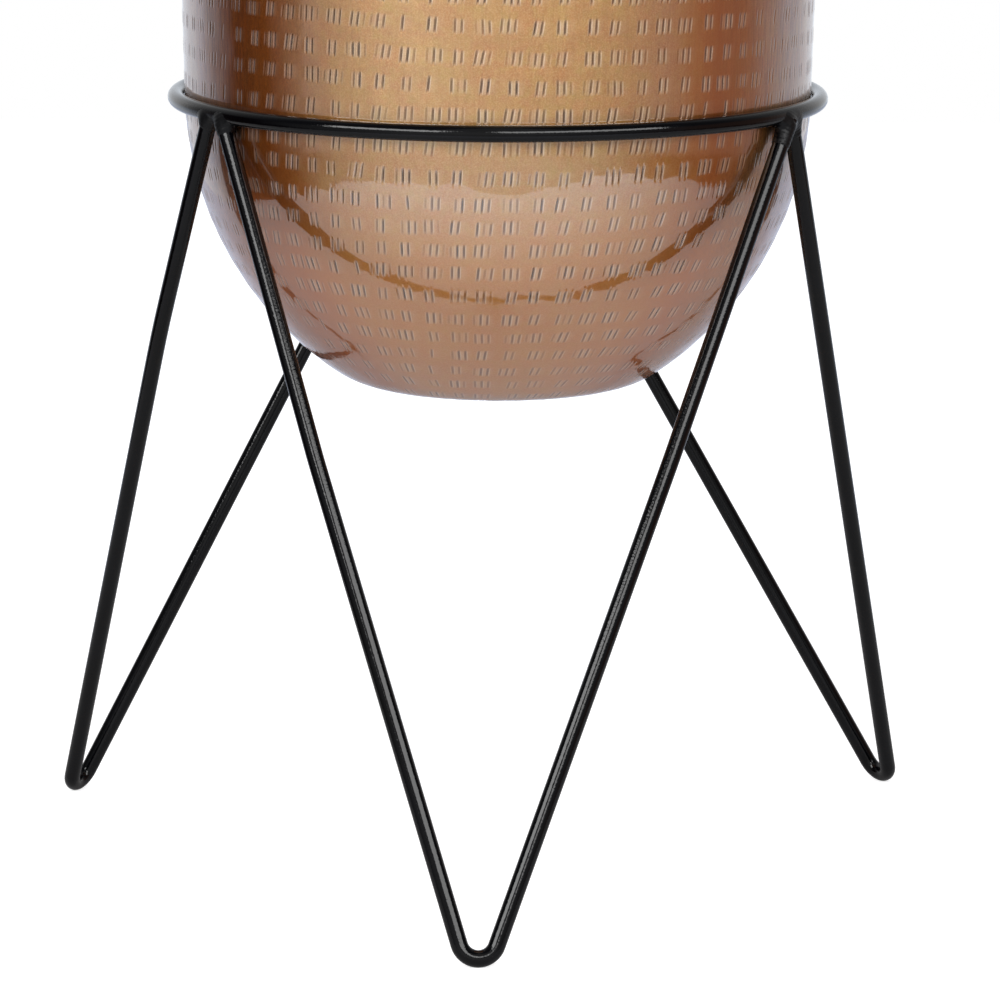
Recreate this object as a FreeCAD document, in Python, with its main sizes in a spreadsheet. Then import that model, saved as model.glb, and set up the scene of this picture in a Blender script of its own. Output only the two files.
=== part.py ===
"""Planter with stand: a round-bottomed sheet metal pot seated in a welded rod stand.

Millimetres, +Z up. The origin lies on the axis of the ring, level with the floor.
Azimuths are degrees about +Z, counted from -Y and positive towards +X.
"""
import FreeCAD, Part
import math
import os
import Sketcher
from FreeCAD import Placement, Rotation, Vector

# Driving dimensions, in millimetres and degrees
SIZES = {
    # Rod stand
    "rod_diameter": 8,
    "ring_inner_diameter": 303,
    "stand_top_height": 374.5,
    "foot_circle_radius": 236,
    "foot_bend_radius": 9,
    "rod_end_setback": 2,
    "fit_up_gap": 0.1,
    # Places of the three feet
    "front_foot_azimuth": -1.7,
    "left_foot_azimuth": -114.4,
    "right_foot_azimuth": 121.9,
    # Places of the six rod ends under the ring
    "front_left_end_azimuth": -55.9,
    "front_right_end_azimuth": 60.7,
    "left_front_end_azimuth": -59.7,
    "left_back_end_azimuth": -171.4,
    "right_front_end_azimuth": 61.9,
    "right_back_end_azimuth": 184.6,
    "end_outset": 0.5,
    "lapped_end_outset": 2.5,
    # Gentle bows in three of the six sides
    "front_left_bow": 2,
    "front_right_bow": 1,
    "left_front_bow": 5.6,
    "bow_bend_radius": 500,
    # Butt joint that closes the ring
    "butt_azimuth": 150,
    "butt_gap": 3,
    "butt_bead_rise": 0.4,
    # Weld beads under the ring
    "bead_radius": 6,
    "bead_drop": 0.2,
    "bead_toe": 0.3,
    "collar_length": 8,
    "end_clearance_length": 24,
    "bridge_radius": 4.4,
    # Sheet metal pot
    "pot_height": 279.5,
    "bowl_depth": 140,
    "corner_radius": 43,
    "pot_wall": 1.2,
    "wall_taper": 1.4,
    "seat_gap": 0.3,
    # Wired edge of the rim
    "rim_wire_diameter": 2.4,
    "rim_wire_gap": 0.4,
    "rim_curl_turn": 285,
}

# Radius of the bowl's large arc, as a share of the bowl's depth
BOWL_ARC_SHARE = 1.1857

# Where each bow sits, as a share of the side's length from its upper end
BOW_SHARES = {
    "front_left_bow": 0.42,
    "front_right_bow": 0.42,
    "left_front_bow": 0.3,
}

# Each leg is one bent rod: the azimuth of its foot, then its two sides.
# A side has its end's azimuth, the end's outset from the ring's centreline and its bow.
LEGS = {
    "front_leg": (
        "front_foot_azimuth",
        ("front_left_end_azimuth", "end_outset", "front_left_bow"),
        ("front_right_end_azimuth", "lapped_end_outset", "front_right_bow"),
    ),
    "left_leg": (
        "left_foot_azimuth",
        ("left_back_end_azimuth", "end_outset", None),
        ("left_front_end_azimuth", "end_outset", "left_front_bow"),
    ),
    "right_leg": (
        "right_foot_azimuth",
        ("right_front_end_azimuth", "end_outset", None),
        ("right_back_end_azimuth", "end_outset", None),
    ),
}

# Each weld joins two rod ends to the ring: a leg and which of its sides, twice
WELDS = {
    "front_left_weld": (("front_leg", 0), ("left_leg", 1)),
    "front_right_weld": (("front_leg", 1), ("right_leg", 0)),
    "back_weld": (("left_leg", 0), ("right_leg", 1)),
}

doc = FreeCAD.newDocument("planter_with_stand")


def make_sheet():
    """Spreadsheet that holds every driving dimension under its own alias."""
    table = doc.addObject("Spreadsheet::Sheet", "Sizes")
    for row, (alias, value) in enumerate(SIZES.items(), start=1):
        table.set(f"A{row}", alias)
        table.set(f"B{row}", str(value))
        table.setAlias(f"B{row}", alias)
    doc.recompute()
    return table


sheet = make_sheet()


def size(alias):
    """A driving dimension, read from the sheet."""
    return float(sheet.get(alias))


rod_radius = size("rod_diameter") / 2
ring_inner_radius = size("ring_inner_diameter") / 2
ring_radius = ring_inner_radius + rod_radius
ring_height = size("stand_top_height") - rod_radius
base_height = ring_height - size("bowl_depth")
taper = math.radians(size("wall_taper"))
seat_radius = ring_inner_radius - size("seat_gap")


def around(radius, azimuth, height):
    """Point at a radius and azimuth about the ring's axis."""
    angle = math.radians(azimuth)
    return Vector(radius * math.sin(angle), -radius * math.cos(angle), height)


def plane_of(body, role):
    """One of the body's own origin planes."""
    return next(item for item in body.Origin.OriginFeatures if item.Role == role)


def new_sketch(body, name, role):
    """Empty sketch that lies on one of the body's origin planes."""
    sketch = body.newObject("Sketcher::SketchObject", name)
    sketch.AttachmentSupport = (plane_of(body, role), [""])
    sketch.MapMode = "FlatFace"
    return sketch


def add_line(sketch, start, end):
    """Straight line in a sketch; returns its number."""
    return sketch.addGeometry(Part.LineSegment(start, end), False)


def add_arc(sketch, centre, radius, start, end):
    """Arc that runs anticlockwise between two angles in radians; returns its number."""
    circle = Part.Circle(centre, Vector(0, 0, 1), radius)
    return sketch.addGeometry(Part.ArcOfCircle(circle, start, end), False)


def join(sketch, first, first_end, second, second_end):
    """Make two ends in a sketch meet."""
    sketch.addConstraint(Sketcher.Constraint("Coincident", first, first_end, second, second_end))


def join_smoothly(sketch, first, first_end, second, second_end):
    """Make two ends in a sketch meet without a corner."""
    sketch.addConstraint(Sketcher.Constraint("Tangent", first, first_end, second, second_end))


def bind(sketch, kind, geometry, value, expression):
    """Dimension on one or two points or on a radius, driven by an expression."""
    number = sketch.addConstraint(Sketcher.Constraint(kind, *geometry, value))
    sketch.setExpression(f"Constraints[{number}]", expression)


def place_point(sketch, geometry, point_end, target):
    """Hold a point of a sketch at a place worked out from the sizes."""
    sketch.addConstraint(Sketcher.Constraint("DistanceX", -1, 1, geometry, point_end, target.x))
    sketch.addConstraint(Sketcher.Constraint("DistanceY", -1, 1, geometry, point_end, target.y))


def revolved_ring(name, placement, turn, rise_alias=None):
    """Round bar bent about the ring's axis; a rise makes it thicker but flush inside."""
    rise = size(rise_alias) if rise_alias else 0
    rise_term = f" + Sizes.{rise_alias}" if rise_alias else ""
    body = doc.addObject("PartDesign::Body", name)
    body.Placement = placement
    sketch = new_sketch(body, f"{name}_section", "XZ_Plane")
    centre = Vector(ring_radius + rise, 0, 0)
    section_radius = rod_radius + rise
    circle = sketch.addGeometry(Part.Circle(centre, Vector(0, 0, 1), section_radius), False)
    sketch.addConstraint(Sketcher.Constraint("PointOnObject", circle, 3, -1))
    bind(sketch, "DistanceX", (-1, 1, circle, 3), centre.x,
         f"(Sizes.ring_inner_diameter + Sizes.rod_diameter) / 2{rise_term}")
    bind(sketch, "Radius", (circle,), section_radius,
         f"Sizes.rod_diameter / 2{rise_term}")
    ring = body.newObject("PartDesign::Revolution", f"{name}_bar")
    ring.Profile = sketch
    ring.ReferenceAxis = (sketch, ["V_Axis"])
    ring.Angle = turn
    return body


def make_ring():
    """Ring of round rod, open at its butt joint, and the bead that closes it."""
    gap_turn = math.degrees(size("butt_gap") / ring_radius)
    # A zero turn of the body lies along +X, which is azimuth 90
    start = size("butt_azimuth") - 90
    open_ring = revolved_ring(
        "stand_ring",
        Placement(Vector(0, 0, ring_height), Rotation(Vector(0, 0, 1), start + gap_turn)),
        360 - gap_turn,
    )
    bead = revolved_ring(
        "ring_butt_weld",
        Placement(Vector(0, 0, ring_height), Rotation(Vector(0, 0, 1), start)),
        gap_turn,
        "butt_bead_rise",
    )
    return open_ring, bead


def leg_frame(foot_azimuth, end_a, end_b):
    """Placement of a leg's plane: origin where the bend touches down, Y up the slope."""
    low_point = around(size("foot_circle_radius"), foot_azimuth, rod_radius)
    normal = (end_b - low_point).cross(end_a - low_point)
    normal.normalize()
    level = Vector(0, 0, 1).cross(normal)
    level.normalize()
    climb = normal.cross(level)
    return Placement(low_point, Rotation(level, climb, normal, "ZXY"))


def tangent_point(point, bend_radius):
    """Where the line from a point meets the foot bend, on the point's own side."""
    centre = Vector(0, bend_radius, 0)
    reach = point - centre
    swing = math.acos(bend_radius / reach.Length)
    side = math.copysign(1, point.x)
    angle = math.atan2(reach.y, reach.x) - side * swing
    return centre + Vector(math.cos(angle), math.sin(angle), 0) * bend_radius, angle


def add_side(sketch, end, bow_alias):
    """Half of a leg's centreline: bend, straight run and, where it has one, a gentle bow."""
    bend_radius = size("foot_bend_radius")
    side = math.copysign(1, end.x)
    centre = Vector(0, bend_radius, 0)
    corner = end
    if bow_alias:
        chord = tangent_point(end, bend_radius)[0] - end
        outward = Vector(-chord.y, chord.x, 0).normalize() * side
        corner = end + chord * BOW_SHARES[bow_alias] + outward * size(bow_alias)
    lower, angle = tangent_point(corner, bend_radius)
    down = -math.pi / 2
    angles = (down, angle) if side > 0 else (angle, down + 2 * math.pi)
    bend = add_arc(sketch, centre, bend_radius, *angles)
    low_end, high_end = (1, 2) if side > 0 else (2, 1)
    join(sketch, bend, low_end, -1, 1)
    sketch.addConstraint(Sketcher.Constraint("PointOnObject", bend, 3, -2))
    bind(sketch, "Radius", (bend,), bend_radius, "Sizes.foot_bend_radius")
    top_direction = (corner - end).normalize() if bow_alias else (lower - end).normalize()
    top = end + top_direction * size("rod_end_setback")
    if not bow_alias:
        run = add_line(sketch, lower, top)
        join_smoothly(sketch, bend, high_end, run, 1)
        place_point(sketch, run, 2, top)
        return top_direction
    bow_radius = size("bow_bend_radius")
    below = (lower - corner).normalize()
    above = (top - corner).normalize()
    half_turn = (math.pi - below.getAngle(above)) / 2
    reach = bow_radius * math.tan(half_turn)
    bow_start = corner + below * reach
    bow_end = corner + above * reach
    inward = (below + above).normalize()
    bow_middle = corner + inward * bow_radius * (1 / math.cos(half_turn) - 1)
    run = add_line(sketch, lower, bow_start)
    bow = sketch.addGeometry(Part.Arc(bow_start, bow_middle, bow_end), False)
    upper_run = add_line(sketch, bow_end, top)
    start_is_first = sketch.getPoint(bow, 1).distanceToPoint(bow_start) < reach
    bow_low, bow_high = (1, 2) if start_is_first else (2, 1)
    join_smoothly(sketch, bend, high_end, run, 1)
    join_smoothly(sketch, run, 2, bow, bow_low)
    join_smoothly(sketch, bow, bow_high, upper_run, 1)
    bind(sketch, "Radius", (bow,), bow_radius, "Sizes.bow_bend_radius")
    place_point(sketch, run, 2, bow_start)
    place_point(sketch, upper_run, 2, top)
    return top_direction


def make_leg(name, foot_alias, sides):
    """One bent rod with its foot on the floor; returns it and where its ends lie."""
    ends = [
        around(ring_radius + size(outset), size(azimuth), ring_height)
        for azimuth, outset, _ in sides
    ]
    frame = leg_frame(size(foot_alias), *ends)
    body = doc.addObject("PartDesign::Body", f"{name}_rod")
    body.Placement = frame
    section = new_sketch(body, f"{name}_section", "YZ_Plane")
    circle = section.addGeometry(Part.Circle(Vector(), Vector(0, 0, 1), rod_radius), False)
    join(section, circle, 3, -1, 1)
    bind(section, "Radius", (circle,), rod_radius, "Sizes.rod_diameter / 2")
    tips = []
    for number, (end, (_, _, bow_alias)) in enumerate(zip(ends, sides)):
        path = new_sketch(body, f"{name}_path_{number}", "XY_Plane")
        local_end = frame.inverse().multVec(end)
        direction = add_side(path, local_end, bow_alias)
        tips.append((end, frame.Rotation.multVec(direction)))
        doc.recompute()
        side = body.newObject("PartDesign::AdditivePipe", f"{name}_side_{number}")
        side.Profile = section
        side.Spine = (path, [])
        doc.recompute()
    return body, tips


def make_tool(kind, name, placement, **expressions):
    """Part primitive whose sizes are driven by the sheet."""
    tool = doc.addObject(kind, name)
    for key, expression in expressions.items():
        tool.setExpression(key, expression)
    tool.Placement = placement
    return tool


def along(point, direction):
    """Placement at a point with its Z axis along a direction."""
    return Placement(point, Rotation(Vector(0, 0, 1), direction))


def make_cut(name, base, tools):
    """Base less each tool in turn."""
    for number, tool in enumerate(tools):
        cut = doc.addObject("Part::Cut", f"{name}_cut_{number}")
        cut.Base = base
        cut.Tool = tool
        base = cut
    return base


def make_weld(name, tips, end_tools, ring_tool, seat_tool):
    """Beads round two rod ends and a bridge between them, clear of rods, ring and pot."""
    parts = []
    depth = size("bead_radius") + size("bead_drop")
    for number, (end, direction) in enumerate(tips):
        heart = end + direction * depth
        parts.append(make_tool(
            "Part::Sphere", f"{name}_bead_{number}", along(heart, direction),
            Radius="Sizes.bead_radius",
        ))
        parts.append(make_tool(
            "Part::Cone", f"{name}_collar_{number}", along(heart, direction),
            Radius1="Sizes.bead_radius",
            Radius2="Sizes.rod_diameter / 2 + Sizes.bead_toe",
            Height="Sizes.collar_length",
        ))
    azimuths = sorted(math.degrees(math.atan2(end.x, -end.y)) for end, _ in tips)
    # The torus starts at +X, which is azimuth 90
    bridge = make_tool(
        "Part::Torus", f"{name}_bridge",
        Placement(
            Vector(0, 0, ring_height - depth),
            Rotation(Vector(0, 0, 1), azimuths[0] - 90),
        ),
        Radius1="(Sizes.ring_inner_diameter + Sizes.rod_diameter) / 2 + Sizes.end_outset",
        Radius2="Sizes.bridge_radius",
    )
    bridge.Angle3 = azimuths[1] - azimuths[0]
    blank = doc.addObject("Part::MultiFuse", f"{name}_blank")
    blank.Shapes = parts + [bridge]
    return make_cut(name, blank, [ring_tool, seat_tool] + end_tools)


def bowl_section(inset):
    """Arc centres and ends of the pot's section, moved inward from its outside."""
    bowl_radius = size("bowl_depth") * BOWL_ARC_SHARE
    corner_radius = size("corner_radius")
    bowl_centre = Vector(
        seat_radius - bowl_radius * math.cos(taper),
        ring_height + bowl_radius * math.sin(taper),
        0,
    )
    drop = bowl_centre.y - base_height - corner_radius
    turn = math.asin(drop / (bowl_radius - corner_radius))
    corner_centre = bowl_centre + Vector(math.cos(turn), -math.sin(turn), 0) * (
        bowl_radius - corner_radius)
    return {
        "bowl_centre": bowl_centre,
        "corner_centre": corner_centre,
        "turn": turn,
        "bowl_radius": bowl_radius - inset,
        "corner_radius": corner_radius - inset,
        "base": base_height + inset,
    }


def rim_centre():
    """Middle of the wire in the rim, as seen in the pot's section."""
    curl_inside = (size("rim_wire_diameter") / 2) + size("rim_wire_gap")
    height = base_height + size("pot_height") - curl_inside - size("pot_wall")
    climb = (height - ring_height + curl_inside * math.sin(taper)) / math.cos(taper)
    radius = seat_radius + climb * math.sin(taper) + curl_inside * math.cos(taper)
    return Vector(radius, height, 0)


def make_pot():
    """Sheet metal shell: flat base, rounded corner, bowl, tapered wall and curled rim."""
    wall = size("pot_wall")
    outer = bowl_section(0)
    inner = bowl_section(wall)
    centre = rim_centre()
    curl_inside = size("rim_wire_diameter") / 2 + size("rim_wire_gap")
    curl_outside = curl_inside + wall
    body = doc.addObject("PartDesign::Body", "pot_shell")
    sketch = new_sketch(body, "pot_section", "XZ_Plane")
    to_wall = Vector(-math.cos(taper), math.sin(taper), 0)
    lines = {}

    def skin(part, key, rim_reach):
        """Base, corner, bowl and wall of one face of the sheet."""
        corner_end = Vector(part["corner_centre"].x, part["base"], 0)
        wall_foot = part["bowl_centre"] - to_wall * part["bowl_radius"]
        wall_top = centre + to_wall * rim_reach
        lines[key, "base"] = add_line(sketch, Vector(0, part["base"], 0), corner_end)
        lines[key, "corner"] = add_arc(
            sketch, part["corner_centre"], part["corner_radius"], -math.pi / 2, -part["turn"])
        lines[key, "bowl"] = add_arc(
            sketch, part["bowl_centre"], part["bowl_radius"], -part["turn"], -taper)
        lines[key, "wall"] = add_line(sketch, wall_foot, wall_top)
        join_smoothly(sketch, lines[key, "base"], 2, lines[key, "corner"], 1)
        join_smoothly(sketch, lines[key, "corner"], 2, lines[key, "bowl"], 1)
        join_smoothly(sketch, lines[key, "bowl"], 2, lines[key, "wall"], 1)
        sketch.addConstraint(Sketcher.Constraint("PointOnObject", lines[key, "base"], 1, -2))

    skin(outer, "outer", curl_inside)
    skin(inner, "inner", curl_outside)
    # The curl runs clockwise from the wall, over the top and back under the wire
    start = math.pi - taper
    end = start - math.radians(size("rim_curl_turn"))
    small = add_arc(sketch, centre, curl_inside, end, start)
    large = add_arc(sketch, centre, curl_outside, end, start)
    lip = Vector(math.cos(end), math.sin(end), 0)
    edge = add_line(sketch, centre + lip * curl_inside, centre + lip * curl_outside)
    axis = add_line(sketch, Vector(0, outer["base"], 0), Vector(0, inner["base"], 0))
    join_smoothly(sketch, lines["outer", "wall"], 2, small, 2)
    join_smoothly(sketch, lines["inner", "wall"], 2, large, 2)
    join(sketch, small, 1, edge, 1)
    join(sketch, large, 1, edge, 2)
    join(sketch, small, 3, large, 3)
    join(sketch, lines["outer", "base"], 1, axis, 1)
    join(sketch, lines["inner", "base"], 1, axis, 2)
    join(sketch, lines["outer", "corner"], 3, lines["inner", "corner"], 3)
    join(sketch, lines["outer", "bowl"], 3, lines["inner", "bowl"], 3)
    sketch.addConstraint(Sketcher.Constraint("Horizontal", lines["outer", "base"]))
    sketch.addConstraint(
        Sketcher.Constraint("Parallel", lines["outer", "wall"], lines["inner", "wall"]))
    bind(sketch, "Radius", (lines["outer", "corner"],), outer["corner_radius"],
         "Sizes.corner_radius")
    bind(sketch, "Radius", (lines["outer", "bowl"],), outer["bowl_radius"],
         f"Sizes.bowl_depth * {BOWL_ARC_SHARE}")
    bind(sketch, "Radius", (small,), curl_inside,
         "Sizes.rim_wire_diameter / 2 + Sizes.rim_wire_gap")
    bind(sketch, "DistanceY", (lines["outer", "base"], 1, lines["inner", "base"], 1), wall,
         "Sizes.pot_wall")
    bind(sketch, "DistanceY", (-1, 1, lines["outer", "base"], 1), base_height,
         "Sizes.stand_top_height - Sizes.rod_diameter / 2 - Sizes.bowl_depth")
    bind(sketch, "DistanceY", (-1, 1, small, 3), centre.y,
         "Sizes.stand_top_height - Sizes.rod_diameter / 2 - Sizes.bowl_depth + "
         "Sizes.pot_height - Sizes.rim_wire_diameter / 2 - Sizes.rim_wire_gap - Sizes.pot_wall")
    bind(sketch, "Angle", (lines["outer", "wall"],), math.pi / 2 - taper,
         "90 - Sizes.wall_taper")
    place_point(sketch, lines["outer", "wall"], 1,
                outer["bowl_centre"] - to_wall * outer["bowl_radius"])
    # The lip is cut square across the sheet
    sketch.addConstraint(Sketcher.Constraint("PointOnObject", small, 3, edge))
    lip_reach = (centre + lip * curl_outside).x
    sketch.addConstraint(Sketcher.Constraint("DistanceX", -1, 1, edge, 2, lip_reach))
    doc.recompute()
    shell = body.newObject("PartDesign::Revolution", "pot_skin")
    shell.Profile = sketch
    shell.ReferenceAxis = (sketch, ["V_Axis"])
    shell.Angle = 360
    return body


def make_rim_wire():
    """Closed hoop of wire that the rim is curled round."""
    centre = rim_centre()
    wire = make_tool("Part::Torus", "rim_wire", Placement(Vector(0, 0, centre.y), Rotation()),
                     Radius2="Sizes.rim_wire_diameter / 2")
    wire.Radius1 = centre.x
    return wire


def make_parts():
    """Every sub-part, by its name."""
    parts = {"pot_shell": make_pot(), "rim_wire": make_rim_wire()}
    parts["stand_ring"], parts["ring_butt_weld"] = make_ring()
    ring_tool = make_tool(
        "Part::Torus", "ring_clearance", Placement(Vector(0, 0, ring_height), Rotation()),
        Radius1="(Sizes.ring_inner_diameter + Sizes.rod_diameter) / 2",
        Radius2="Sizes.rod_diameter / 2 + Sizes.fit_up_gap",
    )
    seat_tool = make_tool(
        "Part::Cylinder", "seat_clearance", Placement(),
        Radius="Sizes.ring_inner_diameter / 2",
        Height="Sizes.stand_top_height",
    )
    rods, tips = {}, {}
    for name, (foot_alias, *sides) in LEGS.items():
        rods[name], tips[name] = make_leg(name, foot_alias, sides)
    end_tools = {
        (name, number): make_tool(
            "Part::Cylinder", f"{name}_end_{number}", along(end, direction),
            Radius="Sizes.rod_diameter / 2 + Sizes.fit_up_gap",
            Height="Sizes.end_clearance_length",
        )
        for name in LEGS
        for number, (end, direction) in enumerate(tips[name])
    }
    for name in LEGS:
        tools = [ring_tool]
        if name == "right_leg":
            # The right leg's front end is coped against the front leg
            tools.append(end_tools["front_leg", 1])
        parts[name] = make_cut(name, rods[name], tools)
    for name, pair in WELDS.items():
        ends = [tips[leg][number] for leg, number in pair]
        tools = [end_tools[key] for key in pair]
        parts[name] = make_weld(name, ends, tools, ring_tool, seat_tool)
    return parts


def check(parts):
    """Stop if anything in the document failed or a sub-part isn't one sound solid."""
    doc.recompute()
    for item in doc.Objects:
        if "Invalid" in item.State or "Error" in item.State:
            raise RuntimeError(f"{item.Name} failed: {item.State}")
    for name, part in parts.items():
        shape = part.Shape
        if shape.isNull() or not shape.isValid() or len(shape.Solids) != 1:
            raise RuntimeError(f"{name} is not one sound solid")


def export(parts):
    """Write each sub-part to its own file."""
    os.makedirs("parts", exist_ok=True)
    for name, part in parts.items():
        part.Label = name
        part.Shape.exportStep(f"parts/{name}.step")
        box = part.Shape.BoundBox
        print(name, "volume", round(part.Shape.Volume), "lowest", round(box.ZMin, 3),
              "highest", round(box.ZMax, 3))


sub_parts = make_parts()
check(sub_parts)
export(sub_parts)
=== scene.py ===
"""Looks of a planter with stand: a hammered, lacquered metal pot in a black rod stand.

Metres, +Z up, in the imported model's own frame: the axis of ring and pot is x = y = 0,
the floor is z = 0, and the camera looks along +Y.
"""

import itertools
import math
import random

import bpy
import numpy as np
from mathutils import Matrix, Vector


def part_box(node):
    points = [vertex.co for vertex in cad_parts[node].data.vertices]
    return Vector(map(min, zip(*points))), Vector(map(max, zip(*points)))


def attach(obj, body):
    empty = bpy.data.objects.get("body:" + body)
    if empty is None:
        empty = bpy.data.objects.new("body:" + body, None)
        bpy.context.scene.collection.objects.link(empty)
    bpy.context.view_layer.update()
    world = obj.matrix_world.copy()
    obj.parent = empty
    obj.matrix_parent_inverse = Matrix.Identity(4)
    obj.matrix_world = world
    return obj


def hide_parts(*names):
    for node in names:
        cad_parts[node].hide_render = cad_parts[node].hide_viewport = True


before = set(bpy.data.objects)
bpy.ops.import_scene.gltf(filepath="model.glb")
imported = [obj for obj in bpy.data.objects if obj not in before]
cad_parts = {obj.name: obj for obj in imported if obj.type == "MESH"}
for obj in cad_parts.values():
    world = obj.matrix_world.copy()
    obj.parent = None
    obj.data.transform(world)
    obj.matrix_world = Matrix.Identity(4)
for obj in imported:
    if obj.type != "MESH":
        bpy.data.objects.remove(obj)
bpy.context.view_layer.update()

# Camera of the photograph
CAMERA_PLACE = (0.0019, -2.6127, 0.6690)
CAMERA_PITCH = math.radians(79.21)
CAMERA_ROLL = 0.0044
SENSOR_WIDTH_MM = 36
LENS_MM = 195.1

# Sheet metal pot, beside what the frame gives
ROD_DIAMETER = 0.008
SEAT_GAP = 0.0003
SHEET = 0.0012
BOWL_ARC_SHARE = 1.1857
CORNER_RADIUS = 0.043
WALL_TAPER = math.radians(1.4)
CURL_INSIDE = 0.0016
CURL_TURN = math.radians(285)

# Chisel marks: short upright dashes, struck in groups along level rows. The first row is the
# lowest, by its length along the outside from the base's centre
FIRST_ROW = 0.0629
ROW_PITCH = 0.0130
GROUP_PITCH = 0.0122
TOOTH_PITCH = 0.0031
GROUP_JITTER_SHARE = 0.12
GROUP_GAP = 0.0031
ROW_JITTER = 0.0005
MARK_DEPTH = 0.00038
LEAN_MEAN = math.radians(4.5)
LEAN_SPREAD = math.radians(2.5)
WEAKEST_BLOW = 0.62
# A weak dash is shorter: at random by up to a share, times what its force lacks of a full one
SHORTENING_SHARE = 0.28
FULL_LENGTH_FORCE = 1.2
# How each row strays from its even place, from the lowest row up: all round, as a tilt
# towards +X and in three waves
ROW_STRAYS = (
    (0.0, 0.0, 0.0), (0.0, 0.0, 0.0), (0.0007, -0.0005, -0.0001), (-0.0009, -0.0012, 0.0007),
    (-0.0002, 0.0001, 0.0003), (-0.0001, -0.0009, -0.0003), (-0.0009, -0.0012, 0.0002),
    (0.0001, -0.0007, 0.0001), (0.0003, -0.0008, 0.0004), (-0.0001, 0.0010, -0.0001),
    (-0.0007, 0.0007, -0.0009), (-0.0018, -0.0003, -0.0015), (-0.0016, -0.0016, -0.0019),
    (-0.0022, -0.0010, 0.0003), (0.0003, -0.0014, -0.0007), (0.0007, -0.0037, -0.0005),
    (0.0014, -0.0034, -0.0011), (0.0026, -0.0035, -0.0007), (0.0024, -0.0020, 0.0),
    (0.0018, -0.0020, 0.0), (0.0016, -0.0020, 0.0), (0.0012, -0.0010, 0.0),
    (0.0009, -0.0010, 0.0), (0.0006, -0.0010, 0.0),
)
# Columns of vertices across one dash, and how deep each lies as a share of the depth
DASH_COLUMNS = (-0.00125, -0.0008, -0.00035, 0.0, 0.00035, 0.0008, 0.00125)
COLUMN_SHARES = (0.0, -0.24, 0.42, 1.0, 0.42, -0.24, 0.0)
# How dark the patina is in each column, and how bright the painted highlight on the raised burrs
# is, brighter on one side of the cut
STAIN_SHARES = (0.0, 0.0, 0.75, 1.0, 0.75, 0.0, 0.0)
LIP_HIGHLIGHT_SHARES = (0.0, 0.5, 0.1, 0.0, 0.1, 1.0, 0.15)
# The painted highlight on the burrs where two teeth of a group meet
LIP_HIGHLIGHT_BETWEEN = 0.4
# The marks' force by degrees from the front: they are weaker beside the welds
MARK_FORCE = ((0, 1.0), (46, 1.0), (56, 0.5), (70, 0.5), (86, 1.0), (180, 1.0))
# And by the row, from the lowest: the steep bowl was struck more lightly
ROW_FORCE = ((0, 0.6), (3, 0.7), (7, 1.0))
# Levels of vertices along one dash, and how deep each lies as a share
DASH_LEVELS = (-0.0043, -0.0033, -0.0022, 0.0, 0.0022, 0.0033, 0.0043)
LEVEL_SHARES = (0.0, 0.6, 0.95, 1.0, 0.95, 0.6, 0.0)
# A row's band ends a little short of halfway to the next row, and its dashes within it
BAND_MARGIN = 0.0004
DASH_MARGIN = 0.0007
END_REACH = 0.005
# What one group of strikes can look like: the strength of each tooth's dash
GROUP_KINDS = (
    (1.0, 0.85),
    (0.9, 1.0),
    (0.4, 1.0, 0.9),
    (0.9, 1.0, 0.45),
    (0.35, 0.95, 1.0, 0.3),
    (0.85, 1.0, 0.8),
    (0.55, 1.0),
    (1.0, 0.35, 0.75),
    (1.0,),
)
GROUP_WEIGHTS = (5, 5, 4, 4, 3, 3, 2, 2, 1)
# Slow dents of the beaten sheet
WAVE_COUNT = 36
WAVE_HEIGHT = 0.000010
WAVE_SHORTEST = 0.009
WAVE_LONGEST = 0.032
SEED = 11

# Vertices of the pot beside its marks: radii and count of the rings under its base, steps
# round each ring above its marks, and steps along the rim and down the inside
BASE_RINGS = (0.008, 0.020, 0.032, 0.044, 0.052)
BASE_SEGMENTS = 120
RIM_SEGMENTS = 288
CURL_STEPS = 14
LIP_STEPS = 4
ROLL_STEPS = 26
INNER_RINGS = 60
INNER_HUB = 0.002

# Rod ends under the ring: azimuth in degrees, outset from the ring's centreline, direction
# downward, how far down the rod its weld bead runs and how full the bead is
ROD_ENDS = {
    "front_left": (-55.9, 0.0005, (0.2686, -0.3625, -0.8924), 0.0090, 1.0),
    "front_right": (60.7, 0.0025, (-0.3223, -0.3752, -0.8691), 0.0155, 0.8),
    "left_back": (-171.4, 0.0005, (-0.4544, -0.1224, -0.8823), 0.0110, 1.0),
    "left_front": (-59.7, 0.0005, (-0.2247, 0.3744, -0.8996), 0.0070, 0.2),
    "right_front": (61.9, 0.0005, (0.1583, 0.4594, -0.8740), 0.0110, 0.6),
    "right_back": (184.6, 0.0005, (0.4951, -0.0601, -0.8668), 0.0110, 1.0),
}
WELDS = {
    "front_left_weld": ("front_left", "left_front"),
    "front_right_weld": ("front_right", "right_front"),
    "back_weld": ("left_back", "right_back"),
}
# Where a weld starts along its rods, how far it reaches, and the grid that its skin is found on
WELD_START = 0.006
WELD_REACH = 0.018
WELD_GRID = 0.0009
# How wide its metal flows out between the two rods, and between them and the ring
WEB_REACH = 0.0055
FILLET_REACH = 0.006
# The bead's rise over the rod, its ripples, and the slope at its end that sinks into the rod
BEAD_RISE = 0.00045
BEAD_RIPPLE = 0.00010
BEAD_PITCH = 0.0019
BEAD_SLOPE = 0.0015
BEAD_SINK = 0.0006
# How deep it lies in the ring where it doesn't flow, and how far outside the ring's bore it stays
RING_SINK = 0.0003
POT_CLEARANCE = 0.0002

# White sheet that the object stands on
SHEET_FRONT = -0.77
SHEET_BACK = 3.0
SHEET_LEFT = -0.77
SHEET_RIGHT = 0.89
SHEET_CORNER = 0.5
CORNER_STEPS = 12
FLOOR_TONE = (0.53, 0.53, 0.54)
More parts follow.
